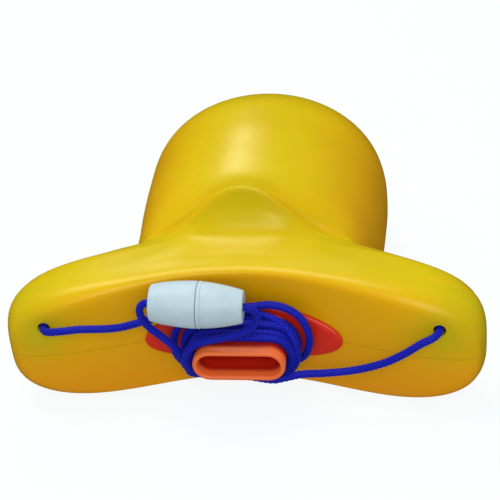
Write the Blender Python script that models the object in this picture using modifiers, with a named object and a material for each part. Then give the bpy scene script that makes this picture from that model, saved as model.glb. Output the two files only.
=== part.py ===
"""Duck-bill whistle with a wound neck cord and a pull-apart toggle; metres, +Z up, +Y to the tip."""
import math

import bmesh
import bpy
from mathutils import Matrix, Vector

MM = 0.001
GAP = 0.3 * MM

# The bill's two shells meet at one level parting line.
SEAM_Z = 17.0 * MM
FACE_TO_ORIGIN = 46.2 * MM
WALL = 1.8 * MM
RING_POINTS = 48
DENSE = 60
RINGS_PER_STEP = 2
WING_REACH = 58.0 * MM
# The rear edge of the underside arches up between the two wings (millimetres, as the stations are).
ARCH_RISE = 4.0
ARCH_START = 9.0
ARCH_LENGTH = 26.0
FULL_DEPTH = 17.8
BUMP_POWER = 2.4
MOUTH_SLOT = (40.0 * MM, 24.0 * MM, 4.4 * MM)
MOUTH_Y = 97.0 * MM
CUT_PAST = 2.0 * MM

# Mouthpiece: a flattened tube on a curved oval flange, clamped in the parting line.
TUBE_Z = 17.8 * MM
TUBE_WIDTH = 23.4 * MM
TUBE_HEIGHT = 8.9 * MM
TUBE_WALL = 1.3 * MM
LIP_Y = -5.6 * MM
TUBE_END_Y = 21.0 * MM
WALL_MID_Y = 10.0 * MM
WALL_WING_Y = -1.4 * MM
FLANGE_HALF = (25.2 * MM, 8.2 * MM)
FLANGE_THICK = 1.6 * MM
FLANGE_POWER = 0.9
LIP_ROUND = 0.5 * MM
CLIP_HALF = (15.5 * MM, 8.2 * MM)
CLIP_Y = (12.4 * MM, 14.4 * MM)

# Reed insert: sleeve, tone board, reed and wedge, stacked over the middle of the tube.
SLEEVE_Y = (14.3 * MM, 20.7 * MM)
SLEEVE_SLOT = (12.6 * MM, 3.8 * MM)
BOARD_SIZE = (12.0 * MM, 22.0 * MM, 1.3 * MM)
BOARD_Y = 3.0 * MM
BOARD_Z = -1.6 * MM
CHANNEL = (7.0 * MM, 0.7 * MM)
REED_THICK = 0.25 * MM
REED_WIDTH = 11.4 * MM
REED_Z = 0.0
REED_TONGUE_Y = (4.0 * MM, 13.9 * MM)
REED_ROOT_Y = (14.4 * MM, 22.6 * MM)
WEDGE_SIZE = (12.0 * MM, 9.0 * MM, 1.1 * MM)
WEDGE_Y = 14.6 * MM

# Neck cord, its holes in the wings, and the winding on the mouthpiece.
CORD_D = 2.1 * MM
HOLE_D = 3.2 * MM
HOLE_SIDES = 16
HOLE_CUT = 16.0 * MM
HOLE_X = 49.6 * MM
HOLE_Z = 25.6 * MM
WIND_Y = (-2.0 * MM, 1.0 * MM, 5.5 * MM)
FIRST_LAYER = 2.3 * MM
SECOND_LAYER = 3.8 * MM
KNOT_R = 2.9 * MM
KNOT_MESH = (14, 8)

# Pull-apart toggle: two barrel halves on one axis, which dips slightly towards +X.
TOGGLE_CENTRE = (-8.9 * MM, -2.7 * MM, 35.0 * MM)
TOGGLE_TILT = math.radians(3.0)
TOGGLE_KNOT_R = 2.3 * MM
SOCKET_KNOT_AT = 8.8 * MM
PLUG_KNOT_AT = 7.2 * MM
TURNED_STEPS = 28

for old in list(bpy.data.objects):
    bpy.data.objects.remove(old, do_unlink=True)


def collection(name):
    made = bpy.data.collections.new(name)
    bpy.context.scene.collection.children.link(made)
    return made


PARTS = collection("duck_bill_whistle")
CUTTERS = collection("cutters")

# Everything is drawn from the wearer's face and hangs on one empty, which sets the origin under the bill.
WHISTLE = bpy.data.objects.new("whistle_frame", None)
WHISTLE.location = (0.0, -FACE_TO_ORIGIN, 0.0)
PARTS.objects.link(WHISTLE)


def material(name, colour, roughness):
    made = bpy.data.materials.new(name)
    made.use_nodes = True
    shader = made.node_tree.nodes["Principled BSDF"]
    shader.inputs["Base Color"].default_value = (*colour, 1.0)
    shader.inputs["Roughness"].default_value = roughness
    return made


YELLOW = material("yellow_bill", (0.75, 0.47, 0.01), 0.35)
ORANGE = material("orange_mouthpiece", (0.75, 0.10, 0.02), 0.4)
WHITE = material("white_toggle", (0.68, 0.80, 0.84), 0.45)
BLUE = material("blue_cord", (0.01, 0.02, 0.45), 0.8)
CLEAR = material("clear_film", (0.75, 0.78, 0.75), 0.2)
DARK = material("dark_holder", (0.12, 0.12, 0.13), 0.5)
CORK = material("cork_wedge", (0.45, 0.28, 0.14), 0.8)


def add_object(name, data, look, home=None):
    made = bpy.data.objects.new(name, data)
    (home or PARTS).objects.link(made)
    made.parent = WHISTLE
    if look is not None:
        data.materials.append(look)
    return made


def mesh_from(bm, name):
    bmesh.ops.recalc_face_normals(bm, faces=bm.faces)
    data = bpy.data.meshes.new(name)
    bm.to_mesh(data)
    bm.free()
    return data


def cut(target, cutter, operation="DIFFERENCE"):
    """Adds a Boolean modifier and keeps the cutter out of the built parts."""
    step = target.modifiers.new("cut", "BOOLEAN")
    step.operation = operation
    step.solver = "EXACT"
    step.object = cutter
    cutter.hide_render = True
    cutter.display_type = "WIRE"


def box_cutter(name, centre, size):
    bm = bmesh.new()
    bmesh.ops.create_cube(bm, size=1.0, matrix=Matrix.Translation(centre) @ Matrix.Diagonal((*size, 1.0)))
    return add_object(name, mesh_from(bm, name), None, CUTTERS)


def catmull(a, b, c, d, t):
    """One Catmull-Rom value between b and c."""
    return 0.5 * (2 * b + (c - a) * t + (2 * a - 5 * b + 4 * c - d) * t * t + (3 * b - a - 3 * c + d) * t ** 3)


# ---------------------------------------------------------------- bill shells
# Each station of the bill, from its tip round to the mouthpiece hole, in millimetres: y on the middle line,
# y at the wings, half width, height over the seam, nose bump and its width, depth under the seam, top power
# and bottom power.
STATIONS = (
    (98.4, 98.4, 6.0, 4.0, 0.0, 14.0, 3.0, 2.0, 2.0),
    (96.8, 96.8, 15.2, 10.6, 0.0, 14.0, 8.0, 2.0, 2.2),
    (92.6, 92.6, 24.2, 19.2, 0.0, 14.0, 13.0, 2.0, 2.5),
    (85.0, 85.0, 30.7, 27.2, 0.0, 14.0, 16.2, 2.0, 3.0),
    (74.0, 74.0, 33.8, 32.0, 0.0, 14.0, 17.6, 2.1, 3.4),
    (61.0, 61.0, 34.0, 33.2, 0.0, 14.0, 17.8, 2.1, 3.6),
    (48.0, 48.0, 33.4, 32.4, 0.0, 14.0, 17.8, 2.2, 3.6),
    (35.0, 34.0, 32.4, 30.8, 0.6, 14.0, 17.8, 2.3, 3.6),
    (28.0, 25.0, 33.0, 25.0, 8.0, 14.2, 17.8, 2.6, 3.6),
    (26.4, 21.0, 37.9, 20.4, 13.2, 14.4, 17.8, 3.2, 3.5),
    (25.2, 18.0, 49.0, 19.4, 14.6, 14.2, 17.8, 3.7, 3.5),
    (23.4, 14.6, 57.3, 19.8, 8.6, 14.4, 17.8, 3.9, 3.4),
    (20.5, 10.8, 60.4, 19.8, 3.8, 17.0, 17.8, 3.9, 3.4),
    (15.0, 6.8, 61.3, 19.6, 1.4, 24.0, 17.8, 3.8, 3.3),
    (10.4, 2.6, 60.5, 19.0, 0.8, 30.0, 17.8, 3.6, 3.2),
    (9.0, -0.4, 58.6, 17.3, 1.0, 30.0, 16.9, 3.2, 3.1),
    (9.4, -1.4, 54.1, 13.8, 0.6, 30.0, 14.2, 2.8, 2.9),
    (9.8, -1.4, 37.0, 9.8, 0.0, 30.0, 9.8, 2.6, 2.8),
    (10.0, -1.4, 12.3, 5.8, 0.0, 30.0, 4.2, 3.2, 3.2),
)


def wing_share(x):
    """0 on the middle line and 1 out on the wings, so the face bows away from the wearer."""
    return math.sin(0.5 * math.pi * min(abs(x) / WING_REACH, 1.0)) ** 2


def outline(station, angle):
    """One point (x, z) of a section, with z measured from the seam, in millimetres."""
    y_mid, _, half, top, bump, bump_width, depth, top_power, low_power = station
    upper = math.sin(angle) >= 0
    power = top_power if upper else low_power
    x = half * math.copysign(abs(math.cos(angle)) ** (2 / power), math.cos(angle))
    rise = abs(math.sin(angle)) ** (2 / power)
    if upper:
        return x, rise * (top + bump * math.exp(-(abs(x / bump_width) ** BUMP_POWER)))
    hollow = ARCH_RISE * max(0.0, 1.0 - (y_mid - ARCH_START) / ARCH_LENGTH) * (1.0 - wing_share(x * MM))
    return x, -rise * (depth - hollow * (depth / FULL_DEPTH) ** 3)


def even_points(dense, count):
    """Points at equal distances along a dense polyline, its first point kept and its last left out."""
    lengths = [0.0]
    for near, far in zip(dense, dense[1:]):
        lengths.append(lengths[-1] + math.dist(near, far))
    points = []
    place = 0
    for index in range(count):
        wanted = lengths[-1] * index / count
        while lengths[place + 1] < wanted:
            place += 1
        share = (wanted - lengths[place]) / (lengths[place + 1] - lengths[place])
        points.append([a + (b - a) * share for a, b in zip(dense[place], dense[place + 1])])
    return points


def bill_ring(station):
    """A closed section in four quarters of even points, so the seam and the middle line keep theirs."""
    y_mid, y_wing = station[:2]
    points = []
    for quarter in range(4):
        angles = [0.5 * math.pi * (quarter + step / DENSE) for step in range(DENSE + 1)]
        angles = [angle + 1e-9 if quarter == 0 else angle - 1e-9 for angle in angles]
        for x, z in even_points([outline(station, angle) for angle in angles], RING_POINTS // 4):
            y = y_mid + (y_wing - y_mid) * wing_share(x * MM)
            points.append(Vector((x * MM, y * MM, max(SEAM_Z + z * MM, 0.0))))
    return points


def bill_rings():
    rings = []
    last = len(STATIONS) - 1
    for index in range(last):
        four = [STATIONS[min(max(index + step, 0), last)] for step in (-1, 0, 1, 2)]
        for part in range(RINGS_PER_STEP):
            t = part / RINGS_PER_STEP
            rings.append(bill_ring([catmull(*values, t) for values in zip(*four)]))
    rings.append(bill_ring(STATIONS[last]))
    return rings


def loft(bm, rings, close_start):
    layers = [[bm.verts.new(point) for point in ring] for ring in rings]
    for near, far in zip(layers, layers[1:]):
        for index in range(len(near)):
            after = (index + 1) % len(near)
            bm.faces.new((near[index], near[after], far[after], far[index]))
    if close_start:
        bm.faces.new(layers[0])


def bill_body(name):
    bm = bmesh.new()
    loft(bm, bill_rings(), close_start=True)
    body = add_object(name, mesh_from(bm, name), YELLOW)
    shell = body.modifiers.new("wall", "SOLIDIFY")
    shell.thickness = WALL
    shell.offset = -1.0
    shell.use_even_offset = True
    shell.use_quality_normals = True
    return body


def cord_hole(side):
    bm = bmesh.new()
    turn = Matrix.Translation((side * HOLE_X, 0.0, HOLE_Z)) @ Matrix.Rotation(math.pi / 2, 4, "X")
    bmesh.ops.create_cone(bm, cap_ends=True, segments=HOLE_SIDES, radius1=HOLE_D / 2, radius2=HOLE_D / 2,
                          depth=HOLE_CUT, matrix=turn)
    return add_object(f"cord_hole_{side}", mesh_from(bm, "cord_hole"), None, CUTTERS)


HALF_SPACE = 200.0 * MM
MIDDLE_Y = 40.0 * MM
mouth = box_cutter("mouth_slot", (0.0, MOUTH_Y, SEAM_Z), MOUTH_SLOT)
above = box_cutter("above_seam", (0.0, MIDDLE_Y, SEAM_Z - GAP / 2 + HALF_SPACE / 2), (HALF_SPACE,) * 3)
below = box_cutter("below_seam", (0.0, MIDDLE_Y, SEAM_Z + GAP / 2 - HALF_SPACE / 2), (HALF_SPACE,) * 3)

upper_bill = bill_body("upper_bill")
lower_bill = bill_body("lower_bill")
cut(upper_bill, below)
cut(upper_bill, mouth)
for side in (-1, 1):
    cut(upper_bill, cord_hole(side))
cut(lower_bill, above)
cut(lower_bill, mouth)


# ---------------------------------------------------------------- mouthpiece
def stadium(half_width, half_height, steps=8):
    """Outline of a flat tube with round ends, as (x, z) pairs round its middle."""
    straight = half_width - half_height
    points = []
    for side, first in ((1, -90), (-1, 90)):
        for step in range(steps + 1):
            angle = math.radians(first + 180 * step / steps)
            points.append((side * straight + half_height * math.cos(angle), half_height * math.sin(angle)))
    return points


def tube_ring(outline_points, y):
    return [Vector((x, y, TUBE_Z + z)) for x, z in outline_points]


def closed_loft(name, rings, look, home=None):
    """A solid through rings of points; the ends are closed by flat faces."""
    bm = bmesh.new()
    layers = [[bm.verts.new(point) for point in ring] for ring in rings]
    for near, far in zip(layers, layers[1:]):
        for index in range(len(near)):
            after = (index + 1) % len(near)
            bm.faces.new((near[index], near[after], far[after], far[index]))
    bm.faces.new(layers[0])
    bm.faces.new(layers[-1])
    return add_object(name, mesh_from(bm, name), look, home)


def ring_loft(name, rings, look):
    """A ring-shaped solid: the last ring joins the first again."""
    bm = bmesh.new()
    layers = [[bm.verts.new(point) for point in ring] for ring in rings]
    for near, far in zip(layers, layers[1:] + layers[:1]):
        for index in range(len(near)):
            after = (index + 1) % len(near)
            bm.faces.new((near[index], near[after], far[after], far[index]))
    return add_object(name, mesh_from(bm, name), look)


def face_y(x):
    """The rear wall's outer surface on the parting line."""
    return WALL_MID_Y + (WALL_WING_Y - WALL_MID_Y) * wing_share(x)


def flange_ring(scale, stand_off, steps=36):
    points = []
    for index in range(steps):
        angle = 2 * math.pi * index / steps
        x = scale * FLANGE_HALF[0] * math.copysign(abs(math.cos(angle)) ** FLANGE_POWER, math.cos(angle))
        z = scale * FLANGE_HALF[1] * math.copysign(abs(math.sin(angle)) ** FLANGE_POWER, math.sin(angle))
        points.append(Vector((x, face_y(x) - 2 * GAP - stand_off, TUBE_Z + z)))
    return points


def build_mouthpiece():
    half = (TUBE_WIDTH / 2, TUBE_HEIGHT / 2)
    tube = closed_loft("mouthpiece", [
        tube_ring(stadium(half[0] - LIP_ROUND, half[1] - LIP_ROUND), LIP_Y),
        tube_ring(stadium(*half), LIP_Y + LIP_ROUND),
        tube_ring(stadium(*half), TUBE_END_Y),
    ], ORANGE)
    flange = closed_loft("flange", [
        flange_ring(0.35, 0.0),
        flange_ring(0.7, 0.0),
        flange_ring(1.0, 0.0),
        flange_ring(1.0, 0.5 * FLANGE_THICK),
        flange_ring(0.93, FLANGE_THICK),
        flange_ring(0.7, FLANGE_THICK),
        flange_ring(0.35, FLANGE_THICK),
    ], ORANGE, CUTTERS)
    bore_half = (half[0] - TUBE_WALL, half[1] - TUBE_WALL)
    bore = closed_loft("bore", [
        tube_ring(stadium(*bore_half), LIP_Y - CUT_PAST),
        tube_ring(stadium(*bore_half), TUBE_END_Y + CUT_PAST),
    ], None, CUTTERS)
    cut(tube, flange, "UNION")
    cut(tube, bore)
    clip_hole = stadium(half[0] + GAP, half[1] + GAP)
    clip_edge = stadium(*CLIP_HALF)
    ring_loft("mouthpiece_clip", [
        tube_ring(clip_hole, CLIP_Y[0]),
        tube_ring(clip_edge, CLIP_Y[0]),
        tube_ring(clip_edge, CLIP_Y[1]),
        tube_ring(clip_hole, CLIP_Y[1]),
    ], DARK)


def box_part(name, low, high, look, home=None):
    centre = [(a + b) / 2 for a, b in zip(low, high)]
    size = [b - a for a, b in zip(low, high)]
    bm = bmesh.new()
    bmesh.ops.create_cube(bm, size=1.0, matrix=Matrix.Translation(centre) @ Matrix.Diagonal((*size, 1.0)))
    return add_object(name, mesh_from(bm, name), look, home)


def build_reed_insert():
    bore_half = (TUBE_WIDTH / 2 - TUBE_WALL - GAP, TUBE_HEIGHT / 2 - TUBE_WALL - GAP)
    sleeve = closed_loft("reed_sleeve", [
        tube_ring(stadium(*bore_half), SLEEVE_Y[0]),
        tube_ring(stadium(*bore_half), SLEEVE_Y[1]),
    ], DARK)
    slot_x, slot_z = SLEEVE_SLOT
    cut(sleeve, box_part("sleeve_slot", (-slot_x / 2, SLEEVE_Y[0] - CUT_PAST, TUBE_Z - slot_z / 2),
                         (slot_x / 2, SLEEVE_Y[1] + CUT_PAST, TUBE_Z + slot_z / 2), None, CUTTERS))
    wide, long, thick = BOARD_SIZE
    board_low = TUBE_Z + BOARD_Z
    board_far = (wide / 2, BOARD_Y + long, board_low + thick)
    board = box_part("tone_board", (-wide / 2, BOARD_Y, board_low), board_far, DARK)
    groove_x, groove_z = CHANNEL
    groove_low = (-groove_x / 2, BOARD_Y - CUT_PAST, board_low + thick - groove_z)
    groove_high = (groove_x / 2, BOARD_Y + long + CUT_PAST, board_low + thick + CUT_PAST)
    cut(board, box_part("air_channel", groove_low, groove_high, None, CUTTERS))
    half = REED_WIDTH / 2
    reed_low = TUBE_Z + REED_Z
    hinge = bpy.data.objects.new("reed_hinge", None)
    hinge.location = (0.0, REED_TONGUE_Y[1], reed_low + REED_THICK / 2)
    hinge.parent = WHISTLE
    PARTS.objects.link(hinge)
    tongue = box_part("reed_tongue", (-half, REED_TONGUE_Y[0] - REED_TONGUE_Y[1], -REED_THICK / 2),
                      (half, 0.0, REED_THICK / 2), CLEAR)
    tongue.parent = hinge
    root_far = (half, REED_ROOT_Y[1], reed_low + REED_THICK)
    box_part("reed_root", (-half, REED_ROOT_Y[0], reed_low), root_far, CLEAR)
    wide, long, thick = WEDGE_SIZE
    wedge_low = reed_low + REED_THICK + GAP
    box_part("reed_wedge", (-wide / 2, WEDGE_Y, wedge_low), (wide / 2, WEDGE_Y + long, wedge_low + thick), CORK)


build_mouthpiece()
build_reed_insert()


# ---------------------------------------------------------------- toggle
# Profiles as (radius, distance from the split), in millimetres, down the outer side and back up the bore.
SOCKET_PROFILE = (
    (4.1, 11.9), (4.55, 11.4), (5.25, 8.4), (5.65, 4.6), (5.87, 1.4), (5.87, 0.6), (5.6, 0.15),
    (3.2, 0.15), (3.2, 6.9), (2.7, 7.4), (2.7, 10.6), (1.35, 11.2), (1.35, 11.9),
)
PLUG_PROFILE = (
    (3.8, 11.2), (4.1, 10.9), (4.95, 7.4), (5.5, 4.0), (5.8, 1.2), (5.8, 0.6), (5.5, 0.15),
    (2.85, 0.15), (2.85, -6.0), (2.4, -6.6), (1.7, -6.6), (1.7, 3.0), (2.7, 3.4), (2.7, 9.8),
    (1.35, 10.5), (1.35, 11.2),
)


def turned(name, profile, look, matrix):
    """A closed profile turned about the local Z axis by a Screw modifier."""
    bm = bmesh.new()
    verts = [bm.verts.new((radius * MM, 0.0, height * MM)) for radius, height in profile]
    for near, far in zip(verts, verts[1:] + verts[:1]):
        bm.edges.new((near, far))
    data = bpy.data.meshes.new(name)
    bm.to_mesh(data)
    bm.free()
    made = add_object(name, data, look)
    spin = made.modifiers.new("turn", "SCREW")
    spin.steps = TURNED_STEPS
    spin.render_steps = TURNED_STEPS
    spin.use_merge_vertices = True
    spin.merge_threshold = 0.00001
    made.matrix_local = matrix
    return made


def toggle_matrix(side):
    """Local +Z points out of the split along the toggle's axis; side is +1 for the plug half."""
    axis = Matrix.Rotation(TOGGLE_TILT, 4, "Y")
    return Matrix.Translation(TOGGLE_CENTRE) @ axis @ Matrix.Rotation(side * math.pi / 2, 4, "Y")


def knot(name, centre, radius):
    bm = bmesh.new()
    bmesh.ops.create_uvsphere(bm, u_segments=KNOT_MESH[0], v_segments=KNOT_MESH[1], radius=radius,
                              matrix=Matrix.Translation(centre))
    return add_object(name, mesh_from(bm, name), BLUE)


turned("toggle_socket", SOCKET_PROFILE, WHITE, toggle_matrix(-1))
turned("toggle_plug", PLUG_PROFILE, WHITE, toggle_matrix(1))
knot("toggle_socket_knot", toggle_matrix(-1) @ Vector((0.0, 0.0, SOCKET_KNOT_AT)), TOGGLE_KNOT_R)
knot("toggle_plug_knot", toggle_matrix(1) @ Vector((0.0, 0.0, PLUG_KNOT_AT)), TOGGLE_KNOT_R)


# ---------------------------------------------------------------- neck cord
# Routes in millimetres. Each starts at the end that the object holds.
KNOT_SET_BACK = 8.5
LEFT_SPAN = (
    (-49.6, 5.3, 25.4), (-49.6, 2.4, 25.6), (-49.6, -0.6, 25.6), (-48.2, -2.7, 26.2), (-44.5, -3.6, 27.1),
    (-39.5, -3.1, 27.4), (-34.5, -2.3, 27.2), (-30.0, -0.8, 26.9), (-25.5, 1.6, 26.9), (-20.0, 2.8, 27.5),
    (-12.0, 3.8, 28.2), (-4.0, 4.8, 28.4), (3.0, 5.3, 28.4), (5.9, 5.5, 28.6),
)
RIGHT_SPAN = (
    (49.6, 5.3, 25.4), (49.6, 2.4, 25.6), (49.6, -0.6, 25.6), (48.2, -2.7, 25.2), (45.0, -3.6, 23.9),
    (41.4, -3.7, 21.2), (36.8, -3.2, 18.0), (31.8, -2.6, 15.6), (26.6, -2.4, 14.2), (20.6, -2.8, 13.8),
    (15.4, -3.4, 13.9), (11.2, -3.6, 12.9), (7.6, -3.6, 12.0), (4.4, -3.6, 11.9),
)
SOCKET_LOOP = (
    (-21.2, -2.7, 35.6), (-22.6, -2.5, 35.0), (-23.7, -2.0, 33.4), (-24.0, -1.5, 31.4), (-23.6, -1.2, 29.2),
    (-22.3, -1.2, 26.8), (-19.9, -1.2, 24.2), (-17.4, -1.2, 21.4), (-16.0, -1.2, 18.6), (-15.8, -1.2, 15.8),
)
# The cord out of the plug half is in two pieces: the tail moves with it, the strand stays on the winding.
PLUG_TAIL = ((2.7, -2.7, 34.3), (4.1, -2.7, 33.8), (5.1, -2.65, 32.3), (5.2, -2.6, 30.2), (4.0, -2.6, 28.2))
PLUG_STRAND = (
    (3.2, -2.75, 27.6), (1.0, -3.1, 26.6), (-2.4, -3.5, 25.6), (-6.6, -3.6, 24.7), (-10.4, -3.6, 23.4),
    (-12.9, -3.6, 20.8), (-13.6, -3.6, 17.8), (-13.0, -3.6, 15.0),
)
LOOSE_TURN = (
    (6.4, 5.6, 28.7), (9.6, 5.3, 28.6), (12.8, 4.6, 27.7), (15.4, 3.8, 25.7), (16.9, 3.2, 22.8),
    (17.4, 3.1, 19.6), (17.3, 3.1, 16.4),
)
POINT_SPACING = 4.0
CURVE_STEPS = 12


def smooth_route(points):
    """Evenly spaced points on one Catmull-Rom curve through the route's own points."""
    dense = []
    last = len(points) - 1
    for index in range(last):
        four = [points[min(max(index + step, 0), last)] for step in (-1, 0, 1, 2)]
        for part in range(CURVE_STEPS):
            dense.append([catmull(*values, part / CURVE_STEPS) for values in zip(*four)])
    dense.append(list(points[last]))
    length = sum(math.dist(near, far) for near, far in zip(dense, dense[1:]))
    count = max(round(length / POINT_SPACING), 4)
    return even_points(dense, count) + [list(points[last])]


def cord_tube(name, route):
    line = bpy.data.curves.new(name, "CURVE")
    line.dimensions = "3D"
    line.bevel_depth = CORD_D / 2
    line.bevel_resolution = 2
    line.use_fill_caps = True
    points = smooth_route(route)
    spline = line.splines.new("POLY")
    spline.points.add(len(points) - 1)
    for place, point in zip(spline.points, points):
        place.co = (*(value * MM for value in point), 1.0)
    return add_object(name, line, BLUE)


cord_tube("cord_left_span", LEFT_SPAN)
cord_tube("cord_right_span", RIGHT_SPAN)
cord_tube("cord_socket_loop", SOCKET_LOOP)
cord_tube("cord_plug_tail", PLUG_TAIL)
cord_tube("cord_plug_strand", PLUG_STRAND)
cord_tube("cord_loose_turn", LOOSE_TURN)
for name, side in (("cord_knot_left", -1), ("cord_knot_right", 1)):
    knot(name, (side * HOLE_X, KNOT_SET_BACK * MM, LEFT_SPAN[0][2] * MM), KNOT_R)


def winding_ring(thickness, y):
    return tube_ring(stadium(TUBE_WIDTH / 2 + thickness, TUBE_HEIGHT / 2 + thickness), y)


ring_loft("cord_winding", [
    winding_ring(GAP, WIND_Y[0]),
    winding_ring(FIRST_LAYER + GAP, WIND_Y[0]),
    winding_ring(FIRST_LAYER + GAP, WIND_Y[1]),
    winding_ring(SECOND_LAYER + GAP, WIND_Y[1]),
    winding_ring(SECOND_LAYER + GAP, WIND_Y[2]),
    winding_ring(GAP, WIND_Y[2]),
], BLUE)
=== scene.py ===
import math

import bmesh
import bpy
import numpy as np
from mathutils import Matrix, Vector


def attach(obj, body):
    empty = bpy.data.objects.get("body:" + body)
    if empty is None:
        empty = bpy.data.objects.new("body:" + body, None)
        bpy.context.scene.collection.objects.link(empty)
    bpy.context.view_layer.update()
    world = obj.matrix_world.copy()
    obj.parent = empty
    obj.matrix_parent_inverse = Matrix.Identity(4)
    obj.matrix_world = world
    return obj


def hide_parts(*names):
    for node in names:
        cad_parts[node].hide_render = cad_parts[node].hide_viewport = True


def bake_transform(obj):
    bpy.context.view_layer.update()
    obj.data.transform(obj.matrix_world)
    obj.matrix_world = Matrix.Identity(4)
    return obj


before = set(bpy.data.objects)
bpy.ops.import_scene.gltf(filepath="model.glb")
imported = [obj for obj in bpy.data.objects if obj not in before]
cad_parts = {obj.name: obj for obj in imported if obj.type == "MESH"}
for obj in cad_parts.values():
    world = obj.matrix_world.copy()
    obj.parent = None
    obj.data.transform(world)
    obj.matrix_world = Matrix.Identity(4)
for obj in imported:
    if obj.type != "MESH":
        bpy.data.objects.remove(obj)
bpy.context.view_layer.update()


# ================================================================ bill shells
# The bill is two moulded shells of thin yellow plastic that meet at a level parting line. The rear wall
# bows away from the wearer between two hollow wings, and a nose ridge stands over the mouthpiece.
MM = 0.001
FACE_TO_ORIGIN = 46.2
WALL = 1.8
SEAM_Z = 17.0
SEAM_GAP = 0.02
GROOVE = 0.07
GROOVE_WIDTH = 0.3
WING_REACH = 58.0
ARCH_RISE = 4.0
ARCH_START = 9.0
ARCH_LENGTH = 26.0
FULL_DEPTH = 17.8
BUMP_POWER = 2.4
HOLE_AT = (49.6, -0.8, 25.6)
HOLE_RADIUS = 1.6
DIMPLE_DEPTH = 0.55
DIMPLE_RADIUS = 2.9
TIP_WALL = 0.5
TIP_RINGS = 12
STEPS_PER_STATION = 11
SECTION_POINTS = 88
SEAM_POINTS = (0.0, 0.14, 0.32, 0.7)
DIMPLED_TO_Y = 6.0
REAR_TO_Y = 26.0
SIDES_FROM_Y = 24.0

# The bill is drawn in millimetres, with y measured from the wearer's face. Its stations run from the tip
# round to the mouthpiece hole, and each gives: y on the middle line, y at the wings,
# half width, height over the seam, nose ridge and its width, depth under the seam, top and bottom power.
STATIONS = np.array((
    (98.2, 98.2, 1.0, 0.6, 0.0, 14.0, 0.5, 2.0, 2.0),
    (98.0, 98.0, 6.0, 4.0, 0.0, 14.0, 3.0, 2.0, 2.0),
    (96.6, 96.6, 15.0, 10.5, 0.0, 14.0, 8.0, 2.0, 2.2),
    (92.5, 92.5, 24.0, 19.0, 0.0, 14.0, 13.0, 2.0, 2.5),
    (85.0, 85.0, 30.5, 27.0, 0.0, 14.0, 16.2, 2.0, 3.0),
    (74.0, 74.0, 33.6, 31.8, 0.0, 14.0, 17.6, 2.1, 3.4),
    (61.0, 61.0, 33.8, 32.75, 0.0, 14.0, 17.8, 2.1, 3.6),
    (48.0, 48.0, 33.2, 32.0, 0.0, 14.0, 17.8, 2.2, 3.6),
    (35.0, 34.0, 32.2, 30.6, 0.6, 14.0, 17.8, 2.3, 3.6),
    (28.0, 25.0, 32.8, 25.0, 8.0, 14.2, 17.8, 2.6, 3.6),
    (26.4, 21.0, 37.8, 20.4, 13.2, 14.4, 17.8, 3.2, 3.5),
    (25.2, 18.0, 49.0, 19.4, 14.35, 14.2, 17.8, 3.7, 3.5),
    (23.4, 14.6, 57.2, 19.8, 8.6, 14.4, 17.8, 3.9, 3.4),
    (20.5, 10.8, 60.2, 19.8, 3.8, 17.0, 17.8, 3.9, 3.4),
    (15.0, 6.8, 61.1, 19.6, 1.4, 24.0, 17.8, 3.8, 3.3),
    (10.4, 2.6, 60.3, 19.0, 0.8, 30.0, 17.8, 3.6, 3.2),
    (9.0, -0.4, 58.4, 17.3, 1.0, 30.0, 16.9, 3.2, 3.1),
    (9.4, -1.4, 54.0, 13.8, 0.6, 30.0, 14.2, 2.8, 2.9),
    (9.8, -1.4, 37.0, 9.8, 0.0, 30.0, 9.8, 2.6, 2.8),
    (10.0, -1.4, 12.3, 5.8, 0.0, 30.0, 4.2, 3.2, 3.2),
))


def catmull_rom(points, steps):
    """A smooth line through the rows of an array, with this many steps from each row to the next."""
    padded = np.vstack([points[:1], points, points[-1:]])
    line = []
    for index in range(len(points) - 1):
        a, b, c, d = padded[index:index + 4]
        for t in np.arange(steps) / steps:
            line.append(0.5 * (2 * b + (c - a) * t + (2 * a - 5 * b + 4 * c - d) * t ** 2
                               + (3 * b - a - 3 * c + d) * t ** 3))
    line.append(points[-1])
    return np.array(line)


def spaced(line, places):
    """Points of a line at these shares of its length."""
    lengths = np.concatenate([[0.0], np.cumsum(np.linalg.norm(np.diff(line, axis=0), axis=1))])
    wanted = np.asarray(places) * lengths[-1]
    return np.stack([np.interp(wanted, lengths, line[:, axis]) for axis in range(line.shape[1])], axis=1)


def wing_share(x):
    return np.sin(0.5 * np.pi * np.minimum(np.abs(x) / WING_REACH, 1.0)) ** 2


def half_section(station, upper):
    """Points of one half of a section, from the seam at +x over the middle line to the seam at -x."""
    y_mid, y_wing, half, top, bump, bump_width, depth, top_power, low_power = station
    power = top_power if upper else low_power
    angle = np.linspace(0.0, np.pi, 401)
    x = half * np.sign(np.cos(angle)) * np.abs(np.cos(angle)) ** (2 / power)
    rise = np.sin(angle).clip(0, 1) ** (2 / power)
    if upper:
        z = rise * (top + bump * np.exp(-np.abs(x / bump_width) ** BUMP_POWER))
    else:
        hollow = ARCH_RISE * max(0.0, 1.0 - (y_mid - ARCH_START) / ARCH_LENGTH) * (1.0 - wing_share(x))
        z = -rise * (depth - hollow * (depth / FULL_DEPTH) ** 3)
    line = np.stack([x, z], axis=1)
    length = np.linalg.norm(np.diff(line, axis=0), axis=1).sum()
    edge = np.array(SEAM_POINTS) / max(length, 2.0)
    middle = np.linspace(edge[-1], 1 - edge[-1], SECTION_POINTS + 1)[1:-1]
    points = spaced(line, np.concatenate([edge, middle, 1 - edge[::-1]]))
    y = y_mid + (y_wing - y_mid) * wing_share(points[:, 0])
    level = SEAM_Z + (SEAM_GAP if upper else -SEAM_GAP)
    return np.stack([points[:, 0], y, np.maximum(level + points[:, 1], 0.0)], axis=1)


def grid_normals(grid):
    along = np.gradient(grid, axis=0)
    across = np.gradient(grid, axis=1)
    normal = np.cross(along, across)
    return normal / np.maximum(np.linalg.norm(normal, axis=2, keepdims=True), 1e-9)


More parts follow.
